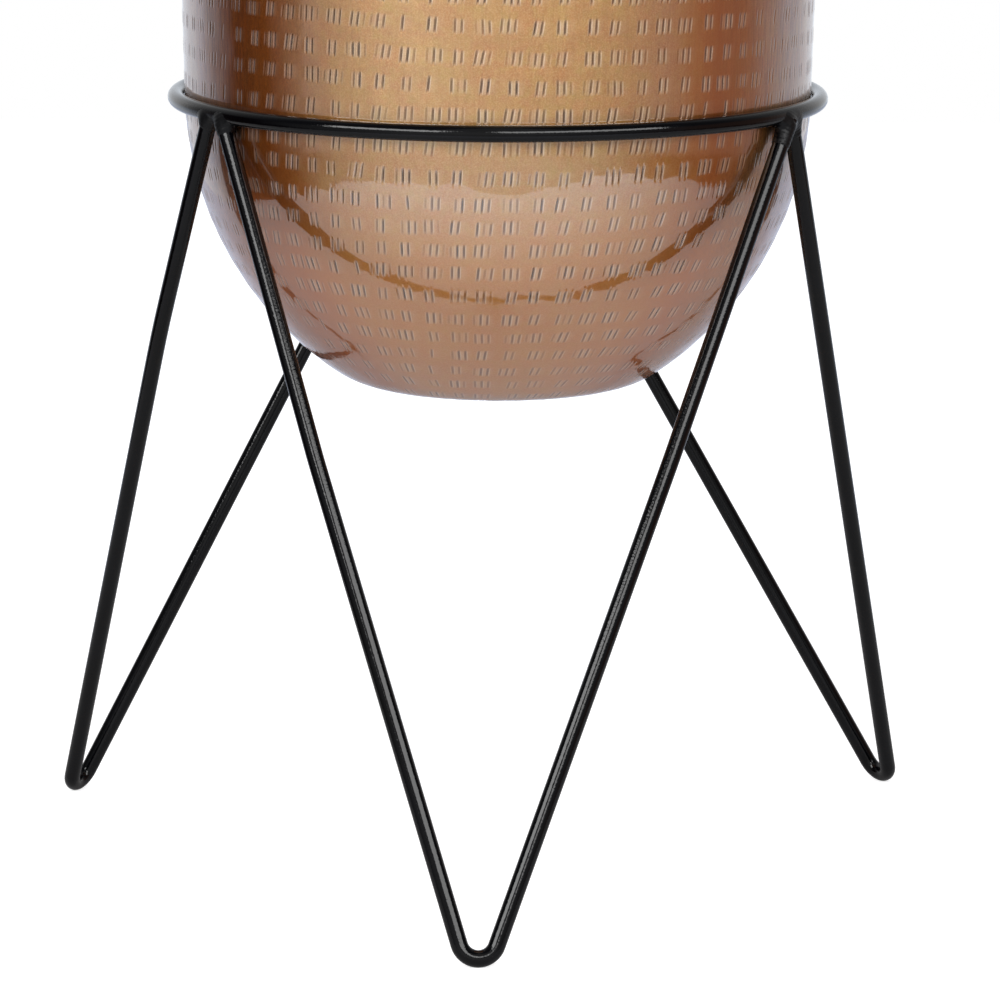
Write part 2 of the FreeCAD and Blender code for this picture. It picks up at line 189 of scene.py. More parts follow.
# Its own white for the camera, by distance from the middle, and in mirrors, by place along Y
CAMERA_GLOW = ((0.0, 0.72), (0.35, 0.74), (0.9, 1.0))
MIRROR_GLOW = (
    (-0.77, 0.32), (-0.60, 0.24), (-0.30, 0.01), (-0.15, 0.0), (0.25, 0.0), (0.8, 0.45),
)
MIRROR_TONE = (0.80, 0.95, 1.28)
GLOW_SPAN = 2.0

# Light from around, in four belts: a grey or colour by degrees from the camera's side towards +X
LEFT_TONE = (0.03, 0.015, 0.009)
RIGHT_TONE = (0.34, 0.20, 0.15)
RIGHT_DARK = (0.14, 0.07, 0.045)
BACK_TONE = (0.94, 1.0, 1.08)
FOOT_LEVELS = (
    (-180, BACK_TONE), (-146, BACK_TONE), (-130, 0.42), (-112, LEFT_TONE), (-84, LEFT_TONE),
    (-72, 0.16), (-56, 0.38), (-30, 0.66), (-8, 0.66), (14, 0.60), (30, 0.46), (48, 0.28),
    (62, RIGHT_DARK), (108, RIGHT_DARK), (130, 0.62), (148, BACK_TONE), (180, BACK_TONE),
)
BELOW_LEVELS = (
    (-180, BACK_TONE), (-146, BACK_TONE), (-138, (0.72, 0.79, 0.92)), (-130, (0.44, 0.47, 0.53)),
    (-117, (0.16, 0.15, 0.17)), (-111, LEFT_TONE), (-93, LEFT_TONE), (-84, 0.12), (-77, 0.22),
    (-74, 0.41), (-69, 0.45), (-64, 0.39), (-50, 0.47), (-30, 0.62), (-8, 0.47), (14, 0.35),
    (34, 0.29), (48, 0.28), (62, 0.34), (76, (0.38, 0.235, 0.165)), (88, RIGHT_TONE),
    (100, RIGHT_TONE), (107, (0.35, 0.25, 0.24)), (113, (0.39, 0.34, 0.36)),
    (120, (0.47, 0.47, 0.50)), (130, (0.55, 0.62, 0.73)), (140, (0.68, 0.74, 0.83)),
    (150, (0.88, 0.92, 0.98)), (160, BACK_TONE), (180, BACK_TONE),
)
LEVEL_LEVELS = (
    (-180, BACK_TONE), (-146, 0.95), (-130, 0.35), (-112, LEFT_TONE), (-92, LEFT_TONE),
    (-72, 0.28), (-50, 0.45), (-30, 0.70), (-14, 0.84), (18, 0.78), (34, 0.46), (52, 0.33),
    (74, RIGHT_TONE), (108, RIGHT_TONE), (130, 0.62), (150, 0.90), (180, BACK_TONE),
)
HIGH_LEVELS = (
    (-180, 0.8), (-130, 0.4), (-90, 0.10), (-34, 0.12), (-18, 0.6), (22, 0.6), (40, 0.12),
    (90, 0.10), (130, 0.4), (180, 0.8),
)
# Each belt takes over from the one under it between two heights of the direction
BELTS = (
    (BELOW_LEVELS, -0.32, -0.25),
    (LEVEL_LEVELS, -0.06, 0.0),
    (HIGH_LEVELS, 0.22, 0.45),
)

# Softboxes: azimuth and elevation in degrees, distance, width, height, power
SOFTBOXES = {
    "softbox_left": (-40, 29, 2.0, 1.38, 0.62, 30),
    "softbox_right": (30, 29, 2.0, 2.0, 0.62, 33),
}
SOFTBOX_TARGET = (0, 0, 0.3)

# Metal of the pot. Each noise over it: scale, detail, roughness and how places are stretched
METAL_NOISES = {
    "mottle": (55.0, 4.0, 0.6),
    "blush": (130.0, 3.0, 0.65, (1.0, 1.0, 2.2)),
    "gilt": (170.0, 3.0, 0.6, (1.0, 1.0, 1.3)),
    "embers": (95.0, 4.0, 0.7, (1.3, 1.3, 1.0)),
    "streaks": (260.0, 3.0, 0.6, (1.0, 1.0, 0.25)),
    "grain": (1400.0, 2.0, 0.6),
    "hairs": (1100.0, 2.0, 0.6, (1.0, 1.0, 0.045)),
    "sheen": (700.0, 3.0, 0.6),
}
# Its base by levels of the mottle, and its roughness by levels of the sheen
METAL_TONES = (
    (0.36, (0.545, 0.275, 0.100)), (0.50, (0.570, 0.340, 0.130)), (0.64, (0.585, 0.400, 0.142)),
)
METAL_ROUGHNESS = ((0.35, 0.42), (0.65, 0.48))
# Tints over the base, one after the other: the noise that places the tint, how its levels are
# set apart, the tint's strength and its colour
METAL_TINTS = (
    ("blush", ((0.40, 0.0), (0.66, 1.0)), 0.45, (0.59, 0.275, 0.14)),
    ("gilt", ((0.46, 0.0), (0.66, 1.0)), 0.55, (0.53, 0.398, 0.105)),
    ("embers", ((0.46, 0.0), (0.74, 1.0)), 0.50, (0.575, 0.25, 0.08)),
    ("streaks", None, 0.45, (0.53, 0.24, 0.08)),
    ("grain", ((0.40, 0.0), (0.68, 1.0)), 0.55, (0.74, 0.52, 0.26)),
)
# Where round the pot it is redder and darker, by degrees from the camera's side: partly the
# lacquered patina and partly a painted dark reflection of the studio's dark sides, placed where
# they reflect as seen from the camera; and how strong it is there from the least of its streaks
# to the most
PATINA_AND_DARK_REFLECTION_ZONES = (
    (-180, 0.3), (-150, 0.9), (-120, 0.2), (-72, 0.3), (-60, 0.65), (-53, 1.0), (-43, 0.95),
    (-37, 0.6), (-30, 0.25), (-20, 0.0), (15, 0.05), (28, 0.3), (36, 0.65), (42, 0.9), (48, 0.75),
    (54, 0.4), (64, 0.2), (95, 0.1), (145, 0.9), (180, 0.3),
)
PATINA_AND_DARK_REFLECTION_RANGE = (0.78, 1.0)
PATINA_AND_DARK_REFLECTION_TONE = (0.42, 0.105, 0.010)
# And where fine dark lines run down the metal
HAIR_ZONES = (
    (-180, 0.1), (-90, 0.25), (-64, 0.6), (-54, 0.5), (-42, 0.1), (42, 0.1), (54, 0.4),
    (64, 0.6), (90, 0.25), (180, 0.1),
)
HAIR_LEVELS = ((0.42, 0.0), (0.62, 1.0))
HAIR_TONE = (0.20, 0.075, 0.02)
# The bowl is more coppery than the wall: it turns so between these two heights
BOWL_HEIGHTS = (0.345, 0.300)
BOWL_STRENGTH = 0.45
BOWL_TONE = (0.66, 0.235, 0.06)
# Raised burrs get a painted highlight, and the cuts are dark with patina
MARK_TINTS = (("lip_highlight", 0.75, (0.97, 0.87, 0.76)), ("stain", 1.0, (0.045, 0.015, 0.008)))
# The grain as a bump
GRAIN_HEIGHT = 0.0002
GRAIN_STRENGTH = 0.13

# Paint and wire: noises by scale, detail and roughness, and tones by levels of the cloud
PAINT_CLOUD = (40.0, 3.0, 0.5)
PAINT_PEEL = (900.0, 2.0, 0.5)
PAINT_TONES = ((0.3, (0.0003, 0.0003, 0.0006)), (0.7, (0.0010, 0.0011, 0.0018)))
PEEL_STRENGTH = 0.16
ROD_PAINT = {"roughness": (0.08, 0.12), "specular": 0.24, "peel_height": 0.0003}
WELD_PAINT = {"roughness": (0.35, 0.48), "specular": 0.22, "peel_height": 0.0005}
WIRE_CLOUD = (300.0, 3.0, 0.5)
WIRE_TONES = ((0.3, (0.30, 0.30, 0.31)), (0.7, (0.45, 0.45, 0.46)))
WIRE_ROUGHNESS = (0.3, 0.5)

WHITE = (1.0, 1.0, 1.0)
TURN = 2 * math.pi

# Sizes from the frame, and the pot's section worked out from them
ring_low, ring_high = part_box("stand_ring")
pot_low, pot_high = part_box("pot_shell")
ring_height = (ring_low.z + ring_high.z) / 2
ring_inner_radius = (ring_high.x - ring_low.x) / 2 - ROD_DIAMETER
seat_radius = ring_inner_radius - SEAT_GAP
base_height = pot_low.z
bowl_radius = (ring_height - base_height) * BOWL_ARC_SHARE
bowl_centre = (
    seat_radius - bowl_radius * math.cos(WALL_TAPER),
    ring_height + bowl_radius * math.sin(WALL_TAPER),
)
corner_turn = math.asin(
    (bowl_centre[1] - base_height - CORNER_RADIUS) / (bowl_radius - CORNER_RADIUS))
corner_centre = (
    bowl_centre[0] + math.cos(corner_turn) * (bowl_radius - CORNER_RADIUS),
    bowl_centre[1] - math.sin(corner_turn) * (bowl_radius - CORNER_RADIUS),
)
rim_height = pot_high.z - CURL_INSIDE - SHEET
rim_climb = (rim_height - ring_height + CURL_INSIDE * math.sin(WALL_TAPER)) / math.cos(WALL_TAPER)
rim_radius = (
    seat_radius + rim_climb * math.sin(WALL_TAPER) + CURL_INSIDE * math.cos(WALL_TAPER))

# Where each stretch of the outside ends, as a length along it from the base's centre
flat_end = corner_centre[0]
corner_end = flat_end + CORNER_RADIUS * (math.pi / 2 - corner_turn)
bowl_end = corner_end + bowl_radius * (corner_turn - WALL_TAPER)
wall_end = bowl_end + rim_climb


def profile(length):
    """Radius, height and outward slope angle of the pot's outside at lengths along it."""
    length = np.asarray(length, float)
    corner_angle = -math.pi / 2 + (length - flat_end) / CORNER_RADIUS
    bowl_angle = -corner_turn + (length - corner_end) / bowl_radius
    stretches = [length < flat_end, length < corner_end, length < bowl_end]
    radius = np.select(
        stretches,
        [
            length,
            corner_centre[0] + CORNER_RADIUS * np.cos(corner_angle),
            bowl_centre[0] + bowl_radius * np.cos(bowl_angle),
        ],
        seat_radius + (length - bowl_end) * math.sin(WALL_TAPER),
    )
    height = np.select(
        stretches,
        [
            np.full_like(length, base_height),
            corner_centre[1] + CORNER_RADIUS * np.sin(corner_angle),
            bowl_centre[1] + bowl_radius * np.sin(bowl_angle),
        ],
        ring_height + (length - bowl_end) * math.cos(WALL_TAPER),
    )
    slope = np.select(
        stretches,
        [np.full_like(length, -math.pi / 2), corner_angle, bowl_angle],
        -WALL_TAPER,
    )
    return radius, height, slope


def put_in_scene(name, data):
    """Object that holds some data, in the scene."""
    thing = bpy.data.objects.new(name, data)
    bpy.context.scene.collection.objects.link(thing)
    return thing


def smooth_piece(name, places, normals, faces):
    """Smooth mesh object with normals of its own, or worked out where they are zero."""
    mesh = bpy.data.meshes.new(name)
    mesh.from_pydata(places.tolist(), [], faces)
    mesh.update()
    mesh.shade_smooth()
    mesh.normals_split_custom_set_from_vertices(normals.tolist())
    return put_in_scene(name, mesh)


class Skin:
    """Rings of vertices, joined one after the other into one surface of revolution."""

    def __init__(self):
        self.places, self.normals, self.stains, self.lip_highlights = [], [], [], []
        self.faces = []
        self.count = 0
        self.last = None

    def add_vertices(self, places, normals, stains, lip_highlights):
        """Store vertices; returns their numbers."""
        numbers = np.arange(self.count, self.count + len(places))
        self.count += len(places)
        self.places.append(places)
        self.normals.append(normals)
        self.stains.append(stains)
        self.lip_highlights.append(lip_highlights)
        return numbers

    def add_ring(self, azimuth, places, normals=None, stains=None, lip_highlights=None):
        """Add a ring of vertices and join it to the ring before it."""
        blank = np.zeros(len(places))
        numbers = self.add_vertices(
            places,
            np.zeros_like(places) if normals is None else normals,
            blank if stains is None else stains,
            blank if lip_highlights is None else lip_highlights,
        )
        if self.last is not None:
            self.zip_rings(self.last, (azimuth, numbers))
        self.last = (azimuth, numbers)

    def add_grid_ring(self, azimuth, places, normals, stains, lip_highlights):
        """Add a ring whose vertices match those of the ring before it one to one."""
        numbers = self.add_vertices(places, normals, stains, lip_highlights)
        before = self.last[1]
        quads = np.column_stack((before, np.roll(before, -1), np.roll(numbers, -1), numbers))
        self.faces.extend(quads.tolist())
        self.last = (azimuth, numbers)

    def zip_rings(self, lower, upper):
        """Triangles between two rings, which may differ in their counts of vertices."""
        low_azimuth, low_numbers = lower
        high_azimuth, high_numbers = upper
        if 1 in (len(low_numbers), len(high_numbers)):
            # One of the two is a single vertex, and a fan joins it to the other
            (hub,), ring = sorted((low_numbers.tolist(), high_numbers.tolist()), key=len)
            self.faces.extend([a, b, hub] for a, b in zip(ring, ring[1:] + ring[:1]))
            return
        low = np.append(low_azimuth, low_azimuth[0] + TURN)
        high = np.append(high_azimuth, high_azimuth[0] + TURN)
        low_count, high_count = len(low_numbers), len(high_numbers)
        i = j = 0
        while i < low_count or j < high_count:
            step_low = j == high_count or (i < low_count and low[i + 1] <= high[j + 1])
            a, b = int(low_numbers[i % low_count]), int(high_numbers[j % high_count])
            if step_low:
                i += 1
                self.faces.append([a, int(low_numbers[i % low_count]), b])
            else:
                j += 1
                self.faces.append([a, int(high_numbers[j % high_count]), b])

    def to_object(self, name):
        """Mesh object of the whole surface, with its normals and its two masks."""
        piece = smooth_piece(
            name, np.concatenate(self.places), np.concatenate(self.normals), self.faces)
        for key, values in (("stain", self.stains), ("lip_highlight", self.lip_highlights)):
            layer = piece.data.attributes.new(key, "FLOAT", "POINT")
            layer.data.foreach_set("value", np.concatenate(values).astype(np.float32))
        return piece


def on_circle(azimuth, radius, height):
    """Points at a radius and height, at azimuths counted from -Y towards +X."""
    return np.column_stack((
        radius * np.sin(azimuth),
        -radius * np.cos(azimuth),
        np.broadcast_to(height, azimuth.shape),
    ))


def make_waves(chance):
    """Slow dents of the sheet: turns, length rate, phase and height of each wave."""
    waves = []
    for _ in range(WAVE_COUNT):
        wavelength = chance.uniform(WAVE_SHORTEST, WAVE_LONGEST)
        heading = chance.uniform(0, math.pi)
        turns = round(TURN * seat_radius * math.cos(heading) / wavelength)
        rate = TURN * math.sin(heading) / wavelength
        phase = chance.uniform(0, TURN)
        waves.append((turns, rate, phase, WAVE_HEIGHT * wavelength / WAVE_LONGEST))
    return waves


def wave_at(waves, azimuth, length, radius):
    """Height of the dents and their slopes round the pot and along its outside."""
    height = np.zeros_like(azimuth)
    slope_round, slope_along = np.zeros_like(azimuth), np.zeros_like(azimuth)
    for turns, rate, phase, reach in waves:
        angle = turns * azimuth + rate * length + phase
        height += reach * np.cos(angle)
        slope_round -= reach * turns * np.sin(angle) / radius
        slope_along -= reach * rate * np.sin(angle)
    return height, slope_round, slope_along


def stray_at(azimuth, number):
    """How far a row strays along the pot's outside, by azimuth and the row's number."""
    even, tilt, waves = ROW_STRAYS[number]
    return even + tilt * np.sin(azimuth) + waves * np.cos(3 * azimuth)


def reach_at(azimuth, number, step):
    """Half of the way from a row to the next one down (-1) or up (1), by azimuth."""
    if not 0 <= number + step < len(ROW_STRAYS):
        return np.full_like(azimuth, END_REACH)
    apart = stray_at(azimuth, number + step) - stray_at(azimuth, number)
    return (ROW_PITCH + step * apart) / 2


def strike_groups(chance, row_radius):
    """Groups of dashes round one row: their teeth (place, strength), shift and lean."""
    group_count = round(TURN * row_radius / GROUP_PITCH)
    width = TURN * row_radius / group_count
    groups = []
    for number in range(group_count):
        kind = chance.choices(GROUP_KINDS, GROUP_WEIGHTS)[0]
        jitter = chance.uniform(-GROUP_JITTER_SHARE, GROUP_JITTER_SHARE)
        first = (number + 0.5 + jitter) * width - (len(kind) - 1) / 2 * TOOTH_PITCH
        shift = chance.uniform(-ROW_JITTER, ROW_JITTER)
        lean = math.tan(chance.gauss(LEAN_MEAN, LEAN_SPREAD))
        force = chance.uniform(WEAKEST_BLOW, 1.0)
        teeth = [(first + tooth * TOOTH_PITCH, strength * force)
                 for tooth, strength in enumerate(kind)]
        groups.append((teeth, shift, lean))
    # Leave out the weaker of two teeth that would run into each other
    for number in range(group_count):
        teeth, after = groups[number][0], groups[(number + 1) % group_count][0]
        turn = TURN * row_radius if number + 1 == group_count else 0.0
        while after[0][0] + turn - teeth[-1][0] < GROUP_GAP:
            if len(teeth) > 1 and (teeth[-1][1] <= after[0][1] or len(after) == 1):
                teeth.pop()
            else:
                after.pop(0)
    return groups


def row_columns(chance, row_radius):
    """Columns of vertices across one row: place, shift, lean, stretch and the three shares."""
    groups = strike_groups(chance, row_radius)
    columns = []
    for number, (teeth, shift, lean) in enumerate(groups):
        for tooth, (place, hit) in enumerate(teeth):
            stretch = 1.0 - chance.uniform(0.0, SHORTENING_SHARE) * (FULL_LENGTH_FORCE - hit)
            # Painted highlight on the burrs, also where two teeth of a group meet
            lip_highlights = list(LIP_HIGHLIGHT_SHARES)
            if tooth > 0:
                lip_highlights[0] = LIP_HIGHLIGHT_BETWEEN
            if tooth < len(teeth) - 1:
                lip_highlights[-1] = LIP_HIGHLIGHT_BETWEEN
            for offset, depth, stain, lip_highlight in zip(
                    DASH_COLUMNS, COLUMN_SHARES, STAIN_SHARES, lip_highlights):
                columns.append((
                    place + offset, shift, lean, stretch, depth * hit, stain * hit, lip_highlight * hit))
        after, after_shift, after_lean = groups[(number + 1) % len(groups)]
        turn = TURN * row_radius if number + 1 == len(groups) else 0.0
        columns.append((
            (teeth[-1][0] + after[0][0] + turn) / 2, (shift + after_shift) / 2,
            (lean + after_lean) / 2, 1.0, 0.0, 0.0, 0.0))
    return np.array(columns).T


def row_rings(columns, row_number, row_length, row_radius):
    """Rings of one row from its lower edge up: azimuth, length, depth, stain and painted
    highlight.
    """
    place, shift, lean, stretch, depth, stain, lip_highlight = columns
    straight = place / row_radius
    from_front = np.abs((np.degrees(straight) + 180) % 360 - 180)
    force = np.interp(from_front, *zip(*MARK_FORCE)) * np.interp(row_number, *zip(*ROW_FORCE))
    depth, stain, lip_highlight = depth * force, stain * force, lip_highlight * force
    down, up = (reach_at(straight, row_number, step) for step in (-1, 1))
    centre = row_length + stray_at(straight, row_number)
    blank = np.zeros_like(place)
    rings = [(straight, centre - down + BAND_MARGIN, blank, blank, blank)]
    for level, share in zip(DASH_LEVELS, LEVEL_SHARES):
        azimuth = (place + lean * level) / row_radius
        room = np.minimum(reach_at(azimuth, row_number, -1), reach_at(azimuth, row_number, 1))
        longest = max(DASH_LEVELS) * stretch + np.abs(shift)
        shorter = np.minimum(1.0, (room - DASH_MARGIN) / longest)
        length = row_length + (level * stretch + shift) * shorter
        length = length + stray_at(azimuth, row_number)
        rings.append((azimuth, length, depth * share, stain * share, lip_highlight * share))
    rings.append((straight, centre + up - BAND_MARGIN, blank, blank, blank))
    return rings


def directions_at(azimuth, slope):
    """Outward, upward and sideways directions of the pot's outside."""
    outward = np.column_stack((
        np.cos(slope) * np.sin(azimuth), -np.cos(slope) * np.cos(azimuth), np.sin(slope)))
    upward = np.column_stack((
        -np.sin(slope) * np.sin(azimuth), np.sin(slope) * np.cos(azimuth), np.cos(slope)))
    sideways = np.column_stack((np.cos(azimuth), np.sin(azimuth), np.zeros_like(azimuth)))
    return outward, upward, sideways


def add_row(skin, chance, waves, row_number):
    """One row of dashes as a band of the pot's outside."""
    row_length = FIRST_ROW + row_number * ROW_PITCH
    row_radius = float(profile(row_length)[0])
    columns = row_columns(chance, row_radius)
    place, _, lean = columns[:3]
    span = np.roll(place, -1) - np.roll(place, 1)
    span[[0, -1]] += TURN * row_radius
    rings = row_rings(columns, row_number, row_length, row_radius)
    for number, (azimuth, length, depth, stain, lip_highlight) in enumerate(rings):
        radius, height, slope = profile(length)
        wave, wave_round, wave_along = wave_at(waves, azimuth, length, radius)
        cut = MARK_DEPTH * depth
        before, after = rings[max(number - 1, 0)], rings[min(number + 1, len(rings) - 1)]
        slope_round = -(np.roll(cut, -1) - np.roll(cut, 1)) / span
        along = MARK_DEPTH * (after[2] - before[2]) / (after[1] - before[1])
        slope_along = -along - lean * slope_round
        outward, upward, sideways = directions_at(azimuth, slope)
        places = on_circle(azimuth, radius, height) + outward * (wave - cut)[:, None]
        normals = (
            outward
            - sideways * (slope_round + wave_round)[:, None]
            - upward * (slope_along + wave_along)[:, None]
        )
        normals /= np.linalg.norm(normals, axis=1)[:, None]
        add = skin.add_ring if number == 0 else skin.add_grid_ring
        add(azimuth, places, normals, stain, lip_highlight)


def arc(centre, radius, angles):
    """Points of an arc in the pot's section, as (radius, height)."""
    return [(centre[0] + radius * math.cos(angle), centre[1] + radius * math.sin(angle))
            for angle in angles]


def rim_section():
    """Section from the top of the outside round the rolled rim and down the inside."""
    rim_centre = (rim_radius, rim_height)
    start = math.pi - WALL_TAPER
    stop = start - CURL_TURN
    # Up the inside of the curl, round its lip and back over the top
    section = arc(rim_centre, CURL_INSIDE, np.linspace(start, stop, CURL_STEPS))
    lip_centre = arc(rim_centre, CURL_INSIDE + SHEET / 2, [stop])[0]
    section += arc(lip_centre, SHEET / 2, np.linspace(stop + math.pi, stop, LIP_STEPS + 2)[1:-1])
    section += arc(rim_centre, CURL_INSIDE + SHEET, np.linspace(stop, start, ROLL_STEPS))
    for length in np.linspace(wall_end, INNER_HUB, INNER_RINGS)[1:]:
        radius, height, slope = (float(value) for value in profile(length))
        section.append((radius - SHEET * math.cos(slope), height - SHEET * math.sin(slope)))
    return section


def make_pot():
    """Pot with chisel marks outside, a rolled rim and a plain inside, in one closed skin."""
    chance = random.Random(SEED)
    waves = make_waves(chance)
    skin = Skin()
    skin.add_ring(np.zeros(1), np.array([[0.0, 0.0, base_height]]))
    azimuth = np.arange(BASE_SEGMENTS) * TURN / BASE_SEGMENTS
    for radius in BASE_RINGS:
        skin.add_ring(azimuth, on_circle(azimuth, radius, base_height))
    for number in range(len(ROW_STRAYS)):
        add_row(skin, chance, waves, number)
    azimuth = np.arange(RIM_SEGMENTS) * TURN / RIM_SEGMENTS
    for radius, height in rim_section():
        skin.add_ring(azimuth, on_circle(azimuth, radius, height))
    skin.add_ring(np.zeros(1), np.array([[0.0, 0.0, base_height + SHEET]]))
    return skin.to_object("pot_skin")


def smooth_least(first, second, reach):
    """Lesser of two distances, blended where they are within a reach of each other."""
    near = np.maximum(reach - np.abs(first - second), 0) / reach
    return np.minimum(first, second) - near * near * reach / 4


def rod_line(name):
    """End of a rod under the ring and its direction downward."""
    azimuth, outset, direction = ROD_ENDS[name][:3]
    azimuth = math.radians(azimuth)
    radius = ring_inner_radius + ROD_DIAMETER / 2 + outset
    end = np.array([radius * math.sin(azimuth), -radius * math.cos(azimuth), ring_height])
    return end, np.array(direction)


def weld_field(points, names, heart):
    """Distance from the skin of a weld's metal, below zero inside it."""
    least = None
    for name in names:
        end, direction = rod_line(name)
        along = (points - end) @ direction
        nearest = end + np.clip(along, WELD_START, WELD_REACH)[:, None] * direction
        away = np.linalg.norm(points - nearest, axis=1)
        bead_end, fullness = ROD_ENDS[name][3:]
        fade = np.clip((along - bead_end) / BEAD_SLOPE, 0, 1)
        rise = fullness * (BEAD_RISE + BEAD_RIPPLE * np.sin(along * TURN / BEAD_PITCH))
        distance = away - ROD_DIAMETER / 2 - rise * (1 - fade) + BEAD_SINK * fade
        least = distance if least is None else smooth_least(least, distance, WEB_REACH)
    from_axis = np.hypot(points[:, 0], points[:, 1])
    ring = np.hypot(from_axis - ring_inner_radius - ROD_DIAMETER / 2, points[:, 2] - ring_height)
    least = smooth_least(least, ring - ROD_DIAMETER / 2 + RING_SINK, FILLET_REACH)
    least = np.maximum(least, np.linalg.norm(points - heart, axis=1) - WELD_REACH)
    return np.maximum(least, ring_inner_radius + POT_CLEARANCE - from_axis)


def tetrahedra(numbers):
    """Corners of six tetrahedra round the long diagonal of each cell of a cube's grid."""
    count = len(numbers)
    blocks = []
    for order in itertools.permutations(range(3)):
        corner = [0, 0, 0]
        path = [tuple(corner)]
        for axis in order:
            corner[axis] = 1
            path.append(tuple(corner))
        blocks.append(np.stack([
            numbers[tuple(slice(c, count - 1 + c) for c in step)].ravel() for step in path], 1))
    return np.concatenate(blocks)


def iso_surface(field, middle, reach):
    """Skin where a field is zero in a cube: its places, normals and faces."""
    ticks = np.arange(-reach, reach + WELD_GRID, WELD_GRID)
    count = len(ticks)
    grid = np.stack(np.meshgrid(ticks, ticks, ticks, indexing="ij"), -1).reshape(-1, 3) + middle
    values = field(grid)
    blocks = tetrahedra(np.arange(count ** 3).reshape(count, count, count))
    inside = values[blocks] < 0
    mixed = inside.any(1) & ~inside.all(1)
    blocks, inside = blocks[mixed], inside[mixed]
    # Corners inside come first, and their count says which edges the skin crosses
    order = np.argsort(~inside, axis=1, kind="stable")
    blocks = np.take_along_axis(blocks, order, 1)
    inner_count = inside.sum(1)
    crossings = {
        1: ((0, 1), (0, 2), (0, 3)),
        2: ((0, 2), (0, 3), (1, 3), (1, 2)),
        3: ((0, 3), (1, 3), (2, 3)),
    }
    edges, sizes, outward = [], [], []
    for inner, pairs in crossings.items():
        chosen = blocks[inner_count == inner]
        edges.append(np.stack([chosen[:, list(pair)] for pair in pairs], 1).reshape(-1, 2))
        sizes += [len(pairs)] * len(chosen)
        outward.append(grid[chosen[:, inner:]].mean(1) - grid[chosen[:, :inner]].mean(1))
    # One vertex on each crossed edge, where the field is zero
    keys, index = np.unique(np.concatenate(edges), axis=0, return_inverse=True)
    index = index.ravel()
    low, high = values[keys[:, 0]], values[keys[:, 1]]
    share = (low / (low - high))[:, None]
    places = grid[keys[:, 0]] * (1 - share) + grid[keys[:, 1]] * share
    # One face in each tetrahedron, turned to look outward
    faces, first = [], 0
    for size, direction in zip(sizes, np.concatenate(outward)):
        face = index[first:first + size]
        first += size
        a, b, c = places[face[:3]]
        turned = np.dot(np.cross(b - a, c - a), direction) < 0
        faces.append([int(n) for n in (face[::-1] if turned else face)])
    nudge = WELD_GRID / 4
    normals = np.stack([
        field(places + nudge * axis) - field(places - nudge * axis) for axis in np.eye(3)], 1)
    normals /= np.linalg.norm(normals, axis=1)[:, None]
    return places, normals, faces


def make_weld(name, rods):
    """Weld metal that runs from two rod ends into each other and into the ring."""
    ends = [rod_line(rod) for rod in rods]
    heart = sum(end + direction * WELD_START for end, direction in ends) / len(ends)
    return smooth_piece(name, *iso_surface(
        lambda points: weld_field(points, rods, heart), heart, WELD_REACH + 2 * WELD_GRID))


